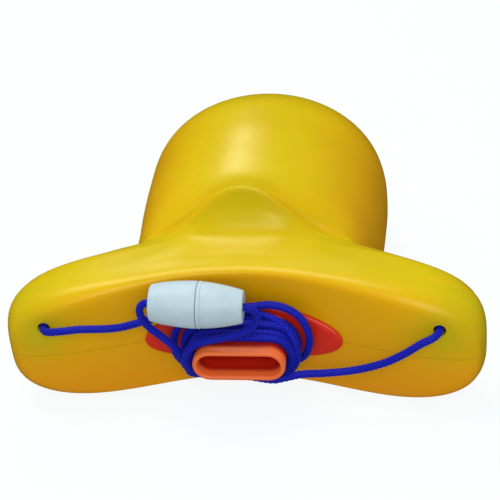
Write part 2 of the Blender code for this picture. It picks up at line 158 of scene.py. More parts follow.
def mesh_object(name, points, faces):
    """A mesh object from points in millimetres, measured from the wearer's face."""
    data = bpy.data.meshes.new(name)
    shifted = (np.asarray(points, float) - (0.0, FACE_TO_ORIGIN, 0.0)) * MM
    data.from_pydata(shifted.tolist(), [], [list(map(int, face)) for face in faces])
    data.validate()
    made = bpy.data.objects.new(name, data)
    bpy.context.scene.collection.objects.link(made)
    return made


def face_outward(made):
    bm = bmesh.new()
    bm.from_mesh(made.data)
    bmesh.ops.recalc_face_normals(bm, faces=bm.faces)
    bm.to_mesh(made.data)
    bm.free()
    made.data.shade_smooth()
    return made


def bake_modifiers(made):
    """Turns the object's modifiers into its own plain mesh."""
    shown = made.evaluated_get(bpy.context.evaluated_depsgraph_get())
    plain = bpy.data.meshes.new_from_object(shown)
    made.modifiers.clear()
    made.data = plain
    plain.name = made.name
    return made


def combine(made, others, operation):
    """Cuts the other solids out of this one, or joins them to it, and removes them."""
    for other in others:
        step = made.modifiers.new("combine", "BOOLEAN")
        step.operation = operation
        step.solver = "EXACT"
        step.object = other
    bake_modifiers(made)
    for other in others:
        bpy.data.objects.remove(other)


def sharpen(made, degrees):
    made.data.set_sharp_from_angle(angle=math.radians(degrees))
    return made


def closed_grid(name, grid, ring=False):
    """A solid through rings of points, closed by flat ends or, as a ring, by joining last to first."""
    rings, around = len(grid), len(grid[0])
    faces = []
    for i in range(rings if ring else rings - 1):
        n = (i + 1) % rings
        for j in range(around):
            k = (j + 1) % around
            faces.append((i * around + j, i * around + k, n * around + k, n * around + j))
    if not ring:
        faces.append(range(around))
        faces.append(range((rings - 1) * around, rings * around))
    return face_outward(mesh_object(name, np.concatenate(grid), faces))


def bill_shell(name, upper):
    stations = catmull_rom(STATIONS, STEPS_PER_STATION)
    outer = np.array([half_section(station, upper) for station in stations])
    normal = grid_normals(outer)
    middle = outer.mean(axis=(0, 1))
    if ((outer - middle) * normal).sum() < 0:
        normal = -normal
    seam_far = np.abs(outer[:, :, 2] - SEAM_Z)
    groove = GROOVE * (1.0 - (seam_far - SEAM_GAP) / GROOVE_WIDTH).clip(0, 1)
    hole = np.hypot(np.abs(outer[:, :, 0]) - HOLE_AT[0], outer[:, :, 2] - HOLE_AT[2])
    dimple = DIMPLE_DEPTH * np.exp(-(hole / DIMPLE_RADIUS) ** 2) * (outer[:, :, 1] < DIMPLED_TO_Y) * upper
    skin = outer - normal * (groove + dimple)[:, :, None]
    thick = np.full(len(stations), WALL)
    thick[:TIP_RINGS] = np.linspace(TIP_WALL, WALL, TIP_RINGS)
    inner = outer - normal * thick[:, None, None]
    inner[:, :, 2] = np.maximum(inner[:, :, 2], SEAM_Z + SEAM_GAP) if upper else \
        np.minimum(inner[:, :, 2], SEAM_Z - SEAM_GAP)
    rings, across = outer.shape[:2]
    count = rings * across
    faces = []
    for i in range(rings - 1):
        for j in range(across - 1):
            a, b = i * across + j, (i + 1) * across + j
            faces.append((a, a + 1, b + 1, b))
            faces.append((count + a, count + b, count + b + 1, count + a + 1))
        for j in (0, across - 1):
            a, b = i * across + j, (i + 1) * across + j
            faces.append((a, b, count + b, count + a) if j == 0 else (a, count + a, count + b, b))
    for j in range(across - 1):
        a = (rings - 1) * across + j
        faces.append((a, a + 1, count + a + 1, count + a))
    faces.append(tuple(range(across)))
    faces.append(tuple(count + j for j in range(across)))
    faces.append((0, across - 1, count + across - 1, count))
    points = np.concatenate([skin.reshape(-1, 3), inner.reshape(-1, 3)])
    return face_outward(mesh_object(name, points, faces))


def mouth_cutter(name):
    """The sounding slot in the bill's tip: wide and low, with rounded ends."""
    width, height, corner = 40.0, 4.4, 1.6
    angles = np.radians(np.arange(0, 360, 9))
    x = np.sign(np.cos(angles)) * (width / 2 - corner) + corner * np.cos(angles)
    z = SEAM_Z + np.sign(np.sin(angles)) * (height / 2 - corner) + corner * np.sin(angles)
    return closed_grid(name, [np.stack([x, np.full_like(x, y), z], axis=1) for y in (85.0, 110.0)])


def hole_cutter(name, side):
    angles = np.radians(np.arange(0, 360, 9))
    x = side * HOLE_AT[0] + HOLE_RADIUS * np.cos(angles)
    z = HOLE_AT[2] + HOLE_RADIUS * np.sin(angles)
    return closed_grid(name, [np.stack([x, np.full_like(x, y), z], axis=1) for y in (-6.0, 6.0)])


def float_attribute(made, name, values):
    layer = made.data.attributes.new(name, "FLOAT", "POINT")
    layer.data.foreach_set("value", np.asarray(values, np.float32))


def mark_bill(made):
    """Where painted shade is tinted into the colour: the side walls, rear wall, lower lobes and round the
    holes.
    """
    count = len(made.data.vertices)
    place = np.zeros(count * 3)
    made.data.vertices.foreach_get("co", place)
    place = place.reshape(-1, 3) / MM + (0.0, FACE_TO_ORIGIN, 0.0)
    normal = np.zeros(count * 3)
    made.data.vertices.foreach_get("normal", normal)
    normal = normal.reshape(-1, 3)
    # Painted shade: the dome's sides are tinted deeper orange where they turn away from the light.
    flank_shade = (np.abs(normal[:, 0]) ** 2.0) * (place[:, 1] > SIDES_FROM_Y)
    # Painted shade: the rear wall and the faces that look down are tinted orange.
    rear = ((-normal[:, 1]).clip(0, 1) ** 1.3 + (-normal[:, 2]).clip(0, 1)).clip(0, 1)
    rear = rear * (place[:, 1] < REAR_TO_Y) * ((42.0 - place[:, 2]) / 6.0).clip(0, 1)
    # Painted shade: the tint grows stronger towards the bottom of the rear part.
    low = ((24.0 - place[:, 2]) / 20.0).clip(0, 1) * (place[:, 1] < REAR_TO_Y)
    # Painted shade in the dimples round the cord holes, tinted dark olive.
    hole = np.hypot(np.abs(place[:, 0]) - HOLE_AT[0] - 1.5, place[:, 2] - HOLE_AT[2] + 1.0)
    hole_shade = np.exp(-(hole / 8.0) ** 2) * (place[:, 1] < 8.0)
    for name, values in (("flank_shade", flank_shade), ("rear", rear), ("low", low), ("hole_shade", hole_shade)):
        float_attribute(made, name, values)


bill_look = bpy.data.materials.new("bill_yellow_plastic")
bill_look.use_nodes = True
tree = bill_look.node_tree
tree.nodes.clear()
# The colour frame holds the yellow and its painted shade tints.
colour_frame = tree.nodes.new("NodeFrame")
colour_frame.label = "colour with painted shade"
relief_frame = tree.nodes.new("NodeFrame")
relief_frame.label = "flow and fine relief"
output = tree.nodes.new("ShaderNodeOutputMaterial")
output.label = "output"
output.location = (900, 0)
shader = tree.nodes.new("ShaderNodeBsdfPrincipled")
shader.label = "satin plastic"
shader.location = (600, 0)
shader.inputs["Roughness"].default_value = 0.33
shader.inputs["IOR"].default_value = 1.49
shader.inputs["Specular IOR Level"].default_value = 0.36
shader.inputs["Specular Tint"].default_value = (1.0, 0.88, 0.40, 1.0)
shader.inputs["Subsurface Weight"].default_value = 0.22
shader.inputs["Subsurface Radius"].default_value = (1.0, 0.55, 0.06)
shader.inputs["Subsurface Scale"].default_value = 0.0028
shader.inputs["Coat Weight"].default_value = 0.10
shader.inputs["Coat Roughness"].default_value = 0.2
coordinates = tree.nodes.new("ShaderNodeTexCoord")
coordinates.label = "object place"
coordinates.location = (-1100, 0)
cloud = tree.nodes.new("ShaderNodeTexNoise")
cloud.label = "pigment cloud"
cloud.location = (-850, 250)
cloud.parent = colour_frame
cloud.inputs["Scale"].default_value = 38.0
cloud.inputs["Detail"].default_value = 3.0
body_colour = tree.nodes.new("ShaderNodeValToRGB")
body_colour.label = "yellow range"
body_colour.location = (-620, 250)
body_colour.parent = colour_frame
body_colour.color_ramp.elements[0].position = 0.3
body_colour.color_ramp.elements[0].color = (0.59, 0.425, 0.001, 1.0)
body_colour.color_ramp.elements[1].position = 0.7
body_colour.color_ramp.elements[1].color = (0.64, 0.485, 0.001, 1.0)
previous = body_colour.outputs["Color"]
# Painted shade: these tints darken the yellow towards orange and olive on the dome's sides, the rear wall,
# the lower parts and round the holes.
for index, (name, colour, strength) in enumerate((
        ("flank_shade", (0.84, 0.37, 0.001, 1.0), 0.85),
        ("rear", (0.80, 0.385, 0.001, 1.0), 0.9),
        ("low", (0.72, 0.24, 0.002, 1.0), 0.7),
        ("hole_shade", (0.43, 0.43, 0.004, 1.0), 0.7))):
    attribute = tree.nodes.new("ShaderNodeAttribute")
    attribute.label = name
    attribute.attribute_name = name
    attribute.location = (-620 + 250 * index, -60)
    attribute.parent = colour_frame
    amount = tree.nodes.new("ShaderNodeMath")
    amount.label = name + " amount"
    amount.operation = "MULTIPLY"
    amount.use_clamp = True
    amount.inputs[1].default_value = strength
    amount.location = (-450 + 250 * index, -60)
    amount.parent = colour_frame
    mix = tree.nodes.new("ShaderNodeMix")
    mix.label = name + " tint"
    mix.data_type = "RGBA"
    mix.location = (-300 + 250 * index, 200)
    mix.parent = colour_frame
    mix.inputs["B"].default_value = colour
    tree.links.new(attribute.outputs["Fac"], amount.inputs[0])
    tree.links.new(amount.outputs["Value"], mix.inputs["Factor"])
    tree.links.new(previous, mix.inputs["A"])
    previous = mix.outputs["Result"]
grain = tree.nodes.new("ShaderNodeTexNoise")
grain.label = "moulding grain"
grain.location = (-620, -350)
grain.inputs["Scale"].default_value = 900.0
grain.inputs["Detail"].default_value = 2.0
waviness = tree.nodes.new("ShaderNodeTexNoise")
waviness.label = "slow waviness"
waviness.location = (-620, -600)
waviness.inputs["Scale"].default_value = 55.0
waviness.inputs["Detail"].default_value = 1.0
fine_bump = tree.nodes.new("ShaderNodeBump")
fine_bump.label = "grain relief"
fine_bump.location = (-100, -350)
fine_bump.inputs["Strength"].default_value = 0.06
fine_bump.inputs["Distance"].default_value = 0.0001
slow_bump = tree.nodes.new("ShaderNodeBump")
slow_bump.label = "sink marks"
slow_bump.location = (-350, -600)
slow_bump.inputs["Strength"].default_value = 0.12
slow_bump.inputs["Distance"].default_value = 0.0015
polish = tree.nodes.new("ShaderNodeMapRange")
polish.label = "uneven polish"
polish.location = (-100, -600)
polish.inputs["To Min"].default_value = 0.29
polish.inputs["To Max"].default_value = 0.40
for node in (grain, waviness, fine_bump, slow_bump, polish):
    node.parent = relief_frame
tree.links.new(coordinates.outputs["Object"], cloud.inputs["Vector"])
tree.links.new(coordinates.outputs["Object"], grain.inputs["Vector"])
tree.links.new(coordinates.outputs["Object"], waviness.inputs["Vector"])
tree.links.new(cloud.outputs["Fac"], body_colour.inputs["Fac"])
tree.links.new(waviness.outputs["Fac"], slow_bump.inputs["Height"])
tree.links.new(grain.outputs["Fac"], fine_bump.inputs["Height"])
tree.links.new(slow_bump.outputs["Normal"], fine_bump.inputs["Normal"])
tree.links.new(waviness.outputs["Fac"], polish.inputs["Value"])
tree.links.new(polish.outputs["Result"], shader.inputs["Roughness"])
tree.links.new(previous, shader.inputs["Base Color"])
tree.links.new(fine_bump.outputs["Normal"], shader.inputs["Normal"])
tree.links.new(shader.outputs["BSDF"], output.inputs["Surface"])

upper_bill = bill_shell("upper_shell", True)
cord_holes = [hole_cutter("hole_cut_left", -1), hole_cutter("hole_cut_right", 1)]
combine(upper_bill, [mouth_cutter("slot_cut")] + cord_holes, "DIFFERENCE")
lower_bill = bill_shell("lower_shell", False)
combine(lower_bill, [mouth_cutter("slot_cut_low")], "DIFFERENCE")
for shell, node in ((upper_bill, "upper_bill"), (lower_bill, "lower_bill")):
    shell.data.shade_smooth()
    sharpen(shell, 42.0)
    mark_bill(shell)
    shell.data.materials.clear()
    shell.data.materials.append(bill_look)
    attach(shell, "root")
    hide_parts(node)


# ================================================================ mouthpiece
# A flattened bite tube of orange plastic with a rounded lip. It is moulded in one piece with a thin oval
# flange, bowed like the rear wall that it covers, and a fillet leads from the tube into the flange.
TUBE_Z = 17.8
TUBE_HALF = (11.7, 4.45)
TUBE_WALL = 1.3
LIP_Y = -5.6
TUBE_END_Y = 21.0
FLANGE_HALF = (25.2, 8.2)
FLANGE_THICK = 1.5
FLANGE_CLEAR = 0.15

# Each profile's rows: the lip and the fillet give (inset, y), the flange (share of its size, stand-off) and
# the bore (inset from the tube's wall, y).
LIP_PROFILE = ((0.62, LIP_Y), (0.30, LIP_Y + 0.06), (0.10, LIP_Y + 0.22), (0.0, LIP_Y + 0.52))
FILLET_PROFILE = ((-0.02, 4.6), (-0.12, 5.4), (-0.4, 6.2), (-0.9, 6.9), (-1.7, 7.5), (-1.7, 9.6))
FLANGE_PROFILE = (
    (0.02, 0.0), (0.5, 0.0), (0.985, 0.0), (1.0, 0.2), (1.0, 0.6), (0.985, 0.95), (0.95, 1.22), (0.88, 1.4),
    (0.75, FLANGE_THICK), (0.5, FLANGE_THICK), (0.25, FLANGE_THICK), (0.02, FLANGE_THICK),
)
BORE_PROFILE = (
    (-0.5, LIP_Y - 0.5), (-0.42, LIP_Y - 0.02), (-0.1, LIP_Y + 0.25), (0.0, LIP_Y + 0.6),
    (0.0, TUBE_END_Y + 2.0),
)


def wall_y(x):
    """The rear wall's outer surface on the parting line."""
    middle, wing = STATIONS[-1, :2]
    return middle - (middle - wing) * wing_share(x)


def stadium(half_width, half_height, count=96):
    """Evenly spaced (x, z) points round a flat tube with round ends."""
    straight = half_width - half_height
    points = []
    for side, first in ((1, -90), (-1, 90)):
        angles = np.radians(np.linspace(first, first + 180, 33))
        x = side * straight + half_height * np.cos(angles)
        points.append(np.stack([x, half_height * np.sin(angles)], axis=1))
    line = np.concatenate(points + [points[0][:1]])
    return spaced(line, np.arange(count) / count)


def tube_section(inset, y):
    outline = stadium(TUBE_HALF[0] - inset, TUBE_HALF[1] - inset)
    return np.stack([outline[:, 0], np.full(len(outline), y), TUBE_Z + outline[:, 1]], axis=1)


def flange_section(scale, stand_off):
    angles = np.radians(np.arange(0, 360, 3))
    x = scale * FLANGE_HALF[0] * np.sign(np.cos(angles)) * np.abs(np.cos(angles)) ** 0.92
    z = scale * FLANGE_HALF[1] * np.sin(angles)
    return np.stack([x, wall_y(x) - FLANGE_CLEAR - stand_off, TUBE_Z + z], axis=1)


lip_rings = [tube_section(inset, y) for inset, y in LIP_PROFILE]
straight_rings = [tube_section(0.0, y) for y in (0.0, 6.0, 12.0, TUBE_END_Y)]
mouthpiece = closed_grid("bite_mouthpiece", lip_rings + straight_rings)
flange = closed_grid("flange", [flange_section(share, stand_off) for share, stand_off in FLANGE_PROFILE])
fillet = closed_grid("fillet", [tube_section(inset, y) for inset, y in FILLET_PROFILE])
bore = closed_grid("bore", [tube_section(TUBE_WALL + inset, y) for inset, y in BORE_PROFILE])
combine(mouthpiece, [flange, fillet], "UNION")
combine(mouthpiece, [bore], "DIFFERENCE")
mouthpiece.data.shade_smooth()
sharpen(mouthpiece, 38.0)


def moulded_plastic(name, colours, grain_scale, roughness, scatter):
    """Satin moulded plastic whose colour runs from the front to the back of the piece; on the orange
    mouthpiece this run is painted light and shade.
    """
    look = bpy.data.materials.new(name)
    look.use_nodes = True
    tree = look.node_tree
    tree.nodes.clear()
    colour_frame = tree.nodes.new("NodeFrame")
    colour_frame.label = "colour along the piece"
    relief_frame = tree.nodes.new("NodeFrame")
    relief_frame.label = "fine relief"
    output = tree.nodes.new("ShaderNodeOutputMaterial")
    output.label = "output"
    output.location = (800, 0)
    shader = tree.nodes.new("ShaderNodeBsdfPrincipled")
    shader.label = "plastic"
    shader.location = (500, 0)
    shader.inputs["Roughness"].default_value = roughness
    shader.inputs["IOR"].default_value = 1.49
    shader.inputs["Subsurface Weight"].default_value = scatter
    shader.inputs["Subsurface Radius"].default_value = (1.0, 0.35, 0.2)
    shader.inputs["Subsurface Scale"].default_value = 0.0012
    coordinates = tree.nodes.new("ShaderNodeTexCoord")
    coordinates.label = "object place"
    coordinates.location = (-900, 0)
    split = tree.nodes.new("ShaderNodeSeparateXYZ")
    split.label = "place along y"
    split.location = (-700, 150)
    along = tree.nodes.new("ShaderNodeMapRange")
    along.label = "front to back"
    along.location = (-500, 150)
    along.inputs["From Min"].default_value = (LIP_Y - FACE_TO_ORIGIN) * MM
    along.inputs["From Max"].default_value = (0.5 - FACE_TO_ORIGIN) * MM
    ramp = tree.nodes.new("ShaderNodeValToRGB")
    ramp.label = "front and back colours"
    ramp.location = (-300, 150)
    ramp.color_ramp.elements[0].position = 0.30
    ramp.color_ramp.elements.new(0.55)
    for stop, colour in zip(ramp.color_ramp.elements, colours):
        stop.color = (*colour, 1.0)
    cloud = tree.nodes.new("ShaderNodeTexNoise")
    cloud.label = "pigment cloud"
    cloud.location = (-500, -120)
    cloud.inputs["Scale"].default_value = 220.0
    tone = tree.nodes.new("ShaderNodeMix")
    tone.label = "slight mottling"
    tone.data_type = "RGBA"
    tone.blend_type = "MULTIPLY"
    tone.location = (0, 100)
    tone.inputs["Factor"].default_value = 0.12
    grain = tree.nodes.new("ShaderNodeTexNoise")
    grain.label = "grain"
    grain.location = (-300, -350)
    grain.inputs["Scale"].default_value = grain_scale
    bump = tree.nodes.new("ShaderNodeBump")
    bump.label = "grain relief"
    bump.location = (100, -350)
    bump.inputs["Strength"].default_value = 0.12
    bump.inputs["Distance"].default_value = 0.0001
    for node in (split, along, ramp, cloud, tone):
        node.parent = colour_frame
    for node in (grain, bump):
        node.parent = relief_frame
    tree.links.new(coordinates.outputs["Object"], split.inputs["Vector"])
    tree.links.new(coordinates.outputs["Object"], cloud.inputs["Vector"])
    tree.links.new(coordinates.outputs["Object"], grain.inputs["Vector"])
    tree.links.new(split.outputs["Y"], along.inputs["Value"])
    tree.links.new(along.outputs["Result"], ramp.inputs["Fac"])
    tree.links.new(ramp.outputs["Color"], tone.inputs["A"])
    tree.links.new(cloud.outputs["Color"], tone.inputs["B"])
    tree.links.new(tone.outputs["Result"], shader.inputs["Base Color"])
    tree.links.new(grain.outputs["Fac"], bump.inputs["Height"])
    tree.links.new(bump.outputs["Normal"], shader.inputs["Normal"])
    tree.links.new(shader.outputs["BSDF"], output.inputs["Surface"])
    return look


# Painted light and shade: the lip is painted a light orange, the tube behind it darkens to a deep red band,
# and a brighter red runs from there back over the flange.
LIT_AND_SHADED_ORANGES = ((0.93, 0.170, 0.034), (0.44, 0.010, 0.006), (0.74, 0.022, 0.004))
orange_look = moulded_plastic("mouthpiece_orange", LIT_AND_SHADED_ORANGES, 1100.0, 0.36, 0.15)
mouthpiece.data.materials.clear()
mouthpiece.data.materials.append(orange_look)
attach(mouthpiece, "root")
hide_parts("mouthpiece")


# ================================================================ retaining clip
# A dark spring plate pushed over the tube behind the rear wall. It has a rounded outline and a row of
# small teeth round its hole that bite into the tube.
CLIP_HALF = (15.5, 8.2)
CLIP_Y = (12.4, 14.4)
TEETH = 24
EDGE_POINTS = 192
clip_rings = []
outer_edge = stadium(CLIP_HALF[0], CLIP_HALF[1], EDGE_POINTS)
hole_edge = stadium(TUBE_HALF[0] + 0.1, TUBE_HALF[1] + 0.1, EDGE_POINTS)
tooth_edge = stadium(TUBE_HALF[0] + 1.0, TUBE_HALF[1] + 1.0, EDGE_POINTS)
between_teeth = (np.arange(EDGE_POINTS) % (EDGE_POINTS // TEETH) < 2)[:, None]
toothed = np.where(between_teeth, tooth_edge, hole_edge)
eased_edge = outer_edge * (0.98, 0.97)
for outline, y in ((toothed, CLIP_Y[0] + 0.2), (eased_edge, CLIP_Y[0]), (outer_edge, CLIP_Y[0] + 0.25),
                   (outer_edge, CLIP_Y[1] - 0.25), (eased_edge, CLIP_Y[1]), (toothed, CLIP_Y[1] - 0.9)):
    clip_rings.append(np.stack([outline[:, 0], np.full(EDGE_POINTS, y), TUBE_Z + outline[:, 1]], axis=1))
clip = closed_grid("spring_clip", clip_rings, ring=True)
sharpen(clip, 40.0)
GREYS = ((0.035, 0.035, 0.040), (0.030, 0.030, 0.035), (0.025, 0.025, 0.030))
dark_look = moulded_plastic("holder_dark", GREYS, 1500.0, 0.5, 0.0)
clip.data.materials.append(dark_look)
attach(clip, "root")
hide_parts("mouthpiece_clip")


# ================================================================ reed insert
# Inside the tube a grooved tone board carries a thin clear reed. A cork wedge clamps the reed's root, and a
# ribbed sleeve holds the stack. The free tongue buzzes over the groove when the whistle is blown.
SLEEVE_Y = (14.3, 20.7)
RIB_STEP = 0.4
CHANNEL = (7.0, 0.7)
REED_WIDTH = 11.4
REED_Z = 17.8
REED_THICK = 0.25
TONGUE_Y = (4.0, 13.9)
ROOT_Y = (14.4, 22.6)

# Width, the two ends along y, and the bottom and top.
BOARD = (12.0, 3.0, 25.0, 16.2, 17.5)
WEDGE = (12.0, 14.6, 23.6, 18.35, 19.45)


def rounded_outline(half_x, half_z, corner, count=12):
    """(x, z) points round a rectangle with rounded corners."""
    points = []
    for quarter in range(4):
        sign_x = (1, -1, -1, 1)[quarter]
        sign_z = (1, 1, -1, -1)[quarter]
        for angle in np.linspace(0, math.pi / 2, count // 4 + 1) + quarter * math.pi / 2:
            points.append((sign_x * (half_x - corner) + corner * math.cos(angle),
                           sign_z * (half_z - corner) + corner * math.sin(angle)))
    return np.array(points)


def bar(name, half_x, low_z, high_z, ends, corner):
    """A bar along y with rounded long edges and eased ends."""
    outline = rounded_outline(half_x, (high_z - low_z) / 2, corner)
    middle = (high_z + low_z) / 2
    rings = []
    for y, scale in ((ends[0], 1 - corner / half_x), (ends[0] + corner, 1.0), (ends[1] - corner, 1.0),
                     (ends[1], 1 - corner / half_x)):
        level_y = np.full(len(outline), y)
        rings.append(np.stack([outline[:, 0] * scale, level_y, middle + outline[:, 1]], axis=1))
    return closed_grid(name, rings)


sleeve_rings = []
for y in np.arange(SLEEVE_Y[0], SLEEVE_Y[1] + 0.01, RIB_STEP):
    swell = 0.12 if round((y - SLEEVE_Y[0]) / RIB_STEP) % 4 < 2 else 0.3
    sleeve_rings.append(tube_section(TUBE_WALL + swell, y))
sleeve = closed_grid("ribbed_sleeve", sleeve_rings)
slot_cut = bar("sleeve_slot", 6.3, TUBE_Z - 1.9, TUBE_Z + 1.9, (12.0, 23.0), 0.3)
combine(sleeve, [slot_cut], "DIFFERENCE")
sharpen(sleeve, 40.0)
sleeve.data.materials.clear()
sleeve.data.materials.append(dark_look)
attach(sleeve, "root")
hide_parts("reed_sleeve")

board = bar("grooved_tone_board", BOARD[0] / 2, BOARD[3], BOARD[4], (BOARD[1], BOARD[2]), 0.2)
groove_ends = (BOARD[1] - 2, BOARD[2] + 2)
groove_cut = bar("groove", CHANNEL[0] / 2, BOARD[4] - CHANNEL[1], BOARD[4] + 2.0, groove_ends, 0.3)
combine(board, [groove_cut], "DIFFERENCE")
sharpen(board, 40.0)
board.data.materials.clear()
board.data.materials.append(dark_look)
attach(board, "root")
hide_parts("tone_board")

clear_look = bpy.data.materials.new("reed_clear_film")
clear_look.use_nodes = True
tree = clear_look.node_tree
tree.nodes.clear()
haze_frame = tree.nodes.new("NodeFrame")
haze_frame.label = "scuffed surface"
output = tree.nodes.new("ShaderNodeOutputMaterial")
output.label = "output"
output.location = (500, 0)
shader = tree.nodes.new("ShaderNodeBsdfPrincipled")
shader.label = "frosted film"
shader.location = (200, 0)
shader.inputs["Base Color"].default_value = (0.80, 0.84, 0.80, 1.0)
shader.inputs["Transmission Weight"].default_value = 0.6
shader.inputs["IOR"].default_value = 1.5
coordinates = tree.nodes.new("ShaderNodeTexCoord")
coordinates.label = "object place"
coordinates.location = (-600, 0)
scuff = tree.nodes.new("ShaderNodeTexNoise")
scuff.label = "rolling scuffs"
scuff.location = (-400, 0)
scuff.inputs["Scale"].default_value = 700.0
haze = tree.nodes.new("ShaderNodeMapRange")
haze.label = "haze"
haze.location = (-150, 0)
haze.inputs["To Min"].default_value = 0.15
haze.inputs["To Max"].default_value = 0.4
for node in (scuff, haze):
    node.parent = haze_frame
tree.links.new(coordinates.outputs["Object"], scuff.inputs["Vector"])
tree.links.new(scuff.outputs["Fac"], haze.inputs["Value"])
tree.links.new(haze.outputs["Result"], shader.inputs["Roughness"])
tree.links.new(shader.outputs["BSDF"], output.inputs["Surface"])

for name, node, body, ends in (("reed_free_tongue", "reed_tongue", "reed", TONGUE_Y),
                               ("reed_clamped_root", "reed_root", "root", ROOT_Y)):
    strip = bar(name, REED_WIDTH / 2, REED_Z, REED_Z + REED_THICK, ends, 0.1)
    strip.data.materials.append(clear_look)
    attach(strip, body)
    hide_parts(node)

cork_look = bpy.data.materials.new("wedge_cork")
cork_look.use_nodes = True
tree = cork_look.node_tree
tree.nodes.clear()
granule_frame = tree.nodes.new("NodeFrame")
granule_frame.label = "granules"
pit_frame = tree.nodes.new("NodeFrame")
pit_frame.label = "pits"
output = tree.nodes.new("ShaderNodeOutputMaterial")
output.label = "output"
output.location = (600, 0)
shader = tree.nodes.new("ShaderNodeBsdfPrincipled")
shader.label = "pressed cork"
shader.location = (300, 0)
shader.inputs["Roughness"].default_value = 0.8
coordinates = tree.nodes.new("ShaderNodeTexCoord")
coordinates.label = "object place"
coordinates.location = (-700, 0)
cells = tree.nodes.new("ShaderNodeTexVoronoi")
cells.label = "cork granules"
cells.location = (-500, 100)
cells.inputs["Scale"].default_value = 1300.0
granules = tree.nodes.new("ShaderNodeValToRGB")
granules.label = "granule colours"
granules.location = (-250, 100)
granules.color_ramp.elements[0].color = (0.20, 0.10, 0.04, 1.0)
granules.color_ramp.elements[1].color = (0.55, 0.36, 0.19, 1.0)
pits = tree.nodes.new("ShaderNodeBump")
pits.label = "pits"
pits.location = (0, -200)
pits.inputs["Strength"].default_value = 0.5
pits.inputs["Distance"].default_value = 0.0002
for node in (cells, granules):
    node.parent = granule_frame
pits.parent = pit_frame
tree.links.new(coordinates.outputs["Object"], cells.inputs["Vector"])
tree.links.new(cells.outputs["Distance"], granules.inputs["Fac"])
tree.links.new(cells.outputs["Distance"], pits.inputs["Height"])
tree.links.new(granules.outputs["Color"], shader.inputs["Base Color"])
tree.links.new(pits.outputs["Normal"], shader.inputs["Normal"])
tree.links.new(shader.outputs["BSDF"], output.inputs["Surface"])
wedge = bar("cork_wedge", WEDGE[0] / 2, WEDGE[3], WEDGE[4], (WEDGE[1], WEDGE[2]), 0.25)
wedge.data.materials.append(cork_look)
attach(wedge, "root")
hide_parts("reed_wedge")


# ================================================================ toggle
# The neck cord's safety toggle is a pale barrel in two halves that pull apart, a socket and a plug with a
# stepped tenon. The cord enters each half through its drilled end, and a knot in the hollow holds it.
TOGGLE_CENTRE = (-8.9, -2.7, 35.0)
TOGGLE_TILT = math.radians(3.0)
TURNED_STEPS = 96

# Profiles as (radius, distance from the split), in millimetres, from the outer end round to the bore.
SOCKET_PROFILE = (
    (3.9, 11.9), (4.25, 11.82), (4.5, 11.6), (4.62, 11.3), (5.25, 8.6), (5.6, 5.6), (5.8, 3.0),
    (5.87, 1.4), (5.87, 0.34), (5.8, 0.14), (5.65, 0.06), (3.45, 0.06), (3.27, 0.12), (3.2, 0.3),
    (3.2, 6.9), (2.7, 7.4), (2.7, 10.6), (1.35, 11.2), (1.35, 11.6), (1.6, 11.9),
)
PLUG_PROFILE = (
    (3.75, 11.2), (3.95, 11.15), (4.05, 11.0), (4.35, 10.1), (4.95, 7.4), (5.4, 4.9), (5.65, 2.7),
    (5.74, 1.35), (5.68, 1.2), (5.68, 1.05), (5.83, 0.95), (5.87, 0.85), (5.87, 0.3), (5.8, 0.12),
    (5.65, 0.06), (2.95, 0.06), (2.85, -0.1), (2.85, -5.6), (2.75, -6.0), (2.35, -6.6), (1.9, -6.6),
    (1.7, -6.4), (1.7, 3.0), (2.7, 3.4), (2.7, 9.8), (1.35, 10.5), (1.35, 10.9), (1.6, 11.2),
)


def toggle_matrix(side):
    axis = Matrix.Rotation(TOGGLE_TILT, 4, "Y")
    return Matrix.Translation(TOGGLE_CENTRE) @ axis @ Matrix.Rotation(side * math.pi / 2, 4, "Y")


def turned(name, profile, matrix):
    rings = []
    for step in range(TURNED_STEPS):
        angle = 2 * math.pi * step / TURNED_STEPS
        spoke = Vector((math.cos(angle), math.sin(angle), 0.0))
        ring = [matrix @ (spoke * radius + Vector((0.0, 0.0, far))) for radius, far in profile]
        rings.append(np.array(ring))
    made = closed_grid(name, rings, ring=True)
    return sharpen(made, 34.0)


toggle_look = bpy.data.materials.new("toggle_pale_plastic")
toggle_look.use_nodes = True
tree = toggle_look.node_tree
tree.nodes.clear()
tone_frame = tree.nodes.new("NodeFrame")
tone_frame.label = "pale colour"
grain_frame = tree.nodes.new("NodeFrame")
grain_frame.label = "grain and polish"
output = tree.nodes.new("ShaderNodeOutputMaterial")
output.label = "output"
output.location = (700, 0)
shader = tree.nodes.new("ShaderNodeBsdfPrincipled")
shader.label = "waxy plastic"
shader.location = (400, 0)
shader.inputs["IOR"].default_value = 1.5
shader.inputs["Subsurface Weight"].default_value = 0.35
shader.inputs["Subsurface Radius"].default_value = (0.6, 0.8, 1.0)
shader.inputs["Subsurface Scale"].default_value = 0.0015
coordinates = tree.nodes.new("ShaderNodeTexCoord")
coordinates.label = "object place"
coordinates.location = (-800, 0)
cloud = tree.nodes.new("ShaderNodeTexNoise")
cloud.label = "flow clouds"
cloud.location = (-600, 200)
cloud.inputs["Scale"].default_value = 180.0
tones = tree.nodes.new("ShaderNodeValToRGB")
tones.label = "pale tones"
tones.location = (-350, 200)
tones.color_ramp.elements[0].position = 0.3
tones.color_ramp.elements[0].color = (0.44, 0.565, 0.62, 1.0)
tones.color_ramp.elements[1].position = 0.7
tones.color_ramp.elements[1].color = (0.50, 0.625, 0.68, 1.0)
sanding = tree.nodes.new("ShaderNodeTexNoise")
sanding.label = "spark-eroded grain"
sanding.location = (-600, -200)
sanding.inputs["Scale"].default_value = 1600.0
relief = tree.nodes.new("ShaderNodeBump")
relief.label = "grain relief"
relief.location = (0, -250)
relief.inputs["Strength"].default_value = 0.2
relief.inputs["Distance"].default_value = 0.00008
polish = tree.nodes.new("ShaderNodeMapRange")
polish.label = "satin"
polish.location = (-350, -100)
polish.inputs["To Min"].default_value = 0.42
